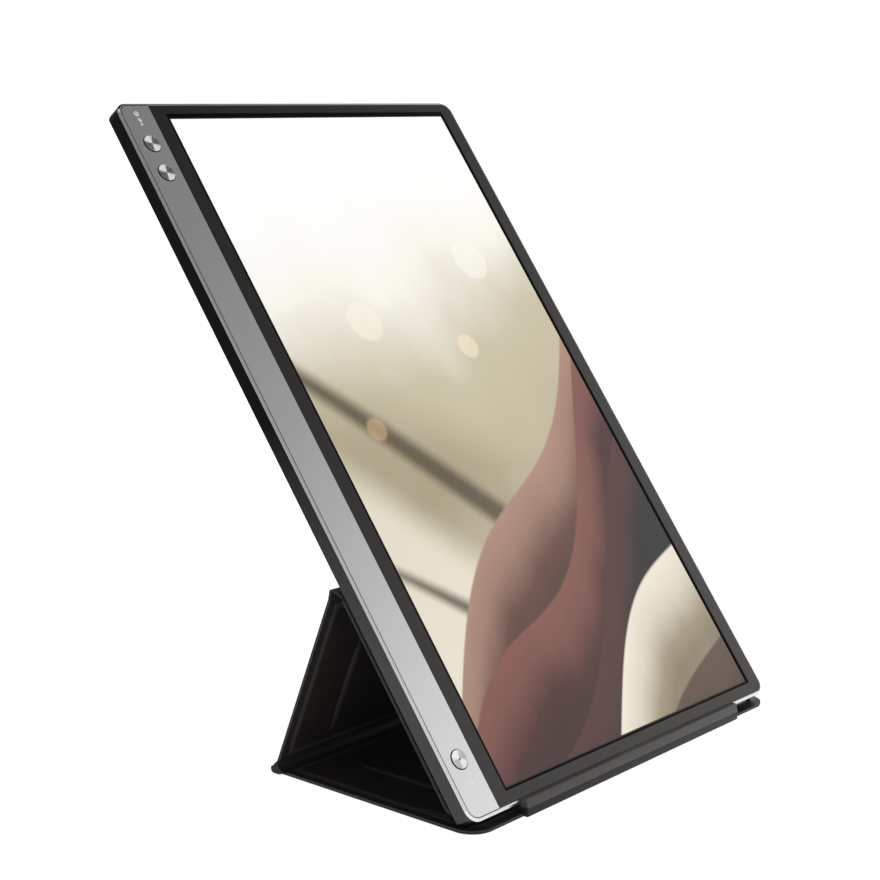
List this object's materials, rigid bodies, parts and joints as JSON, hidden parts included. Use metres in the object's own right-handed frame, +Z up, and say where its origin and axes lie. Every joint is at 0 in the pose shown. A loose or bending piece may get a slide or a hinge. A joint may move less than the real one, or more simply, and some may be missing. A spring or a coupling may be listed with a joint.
{
  "type": "portable monitor with cover",
  "caption": "Thin portable monitor standing upright on its folding magnetic cover, with a metal control strip down the left and a lit screen",
  "frame": {"origin": "middle of the base panel's flat underside, on the table", "axes": "X to the right as the viewer faces the screen, Y to the back, Z up"},
  "size_m": [0.2328, 0.2224, 0.2963],
  "materials": {
    "housing": "fine matt texture",
    "rim": "bright cut edge",
    "frame": "brushed look, satin",
    "strip": "fine brushed, anodised",
    "carrier": "moulded",
    "menu_key": "spun",
    "select_key": "spun",
    "power_key": "spun",
    "switches": "stamped",
    "key_board": "solder mask",
    "power_board": "solder mask",
    "board_ribbon": "polyimide film",
    "display": "anti-glare, lit picture",
    "light_guide": "clear acrylic and films",
    "led_bar": "LED strip",
    "tray": "folded sheet",
    "panel_ribbon": "polyimide film",
    "main_board": "solder mask",
    "chips": "moulded",
    "shield": "tinned",
    "socket_shell": "drawn shell",
    "socket_tongue": "moulded",
    "port_board": "solder mask",
    "tray_screws": "zinc plated",
    "board_screws": "zinc plated",
    "body_magnets": "nickel plated",
    "rest_skin": "fine grain",
    "rest_board": "pressed sheet",
    "rest_lining": "soft lining",
    "rest_magnets": "nickel plated",
    "ridge_fold": "fine grain",
    "rear_skin": "fine grain",
    "rear_board": "pressed sheet",
    "rear_lining": "soft lining",
    "rear_fold": "fine grain",
    "base_skin": "fine grain",
    "base_board": "pressed sheet",
    "base_lining": "soft lining",
    "stop_skin": "fine grain",
    "stop_core": "stiff core"
  },
  "bodies": {
    "monitor": {"rear_housing": "housing", "front_rim": "rim", "front_frame": "frame", "strip_plate": "strip", "key_carrier": "carrier", "key_switches": "switches", "key_board": "key_board", "power_board": "power_board", "board_ribbon": "board_ribbon", "display_glass": "display", "light_guide": "light_guide", "led_bar": "led_bar", "panel_tray": "tray", "panel_ribbon": "panel_ribbon", "main_board": "main_board", "board_chips": "chips", "shield_can": "shield", "usb_port": "socket_shell", "usb_tongue": "socket_tongue", "port_board": "port_board", "tray_screws": "tray_screws", "board_screws": "board_screws", "body_magnets": "body_magnets"},
    "menu_key": {"menu_key": "menu_key"},
    "select_key": {"select_key": "select_key"},
    "power_key": {"power_key": "power_key"},
    "rest_panel": {"rest_skin": "rest_skin", "rest_board": "rest_board", "rest_lining": "rest_lining", "rest_magnets": "rest_magnets", "ridge_fold": "ridge_fold"},
    "rear_panel": {"rear_skin": "rear_skin", "rear_board": "rear_board", "rear_lining": "rear_lining"},
    "base_panel": {"rear_fold": "rear_fold", "base_skin": "base_skin", "base_board": "base_board", "base_lining": "base_lining", "stop_skin": "stop_skin", "stop_core": "stop_core"}
  },
  "joints": [
    {"name": "lift_off", "type": "slide", "parent": "monitor", "child": "rest_panel", "axis": [0, -0.5906, -0.807], "range_m": [0, 0.04]},
    {"name": "ridge_fold", "type": "hinge", "parent": "rest_panel", "child": "rear_panel", "pos_m": [0, 0.02213, 0.09127], "axis": [1, 0, 0], "range_deg": [0, 120]},
    {"name": "rear_fold", "type": "hinge", "parent": "rear_panel", "child": "base_panel", "pos_m": [0, 0.059, 0.0012], "axis": [1, 0, 0], "range_deg": [0, 113]},
    {"name": "menu_key_press", "type": "slide", "parent": "monitor", "child": "menu_key", "axis": [0, 0.807, -0.5906], "range_m": [0, 0.0003], "stiffness_N_per_m": 800, "springref_m": -0.0005},
    {"name": "select_key_press", "type": "slide", "parent": "monitor", "child": "select_key", "axis": [0, 0.807, -0.5906], "range_m": [0, 0.0003], "stiffness_N_per_m": 800, "springref_m": -0.0005},
    {"name": "power_key_press", "type": "slide", "parent": "monitor", "child": "power_key", "axis": [0, 0.807, -0.5906], "range_m": [0, 0.0003], "stiffness_N_per_m": 800, "springref_m": -0.0005}
  ]
}
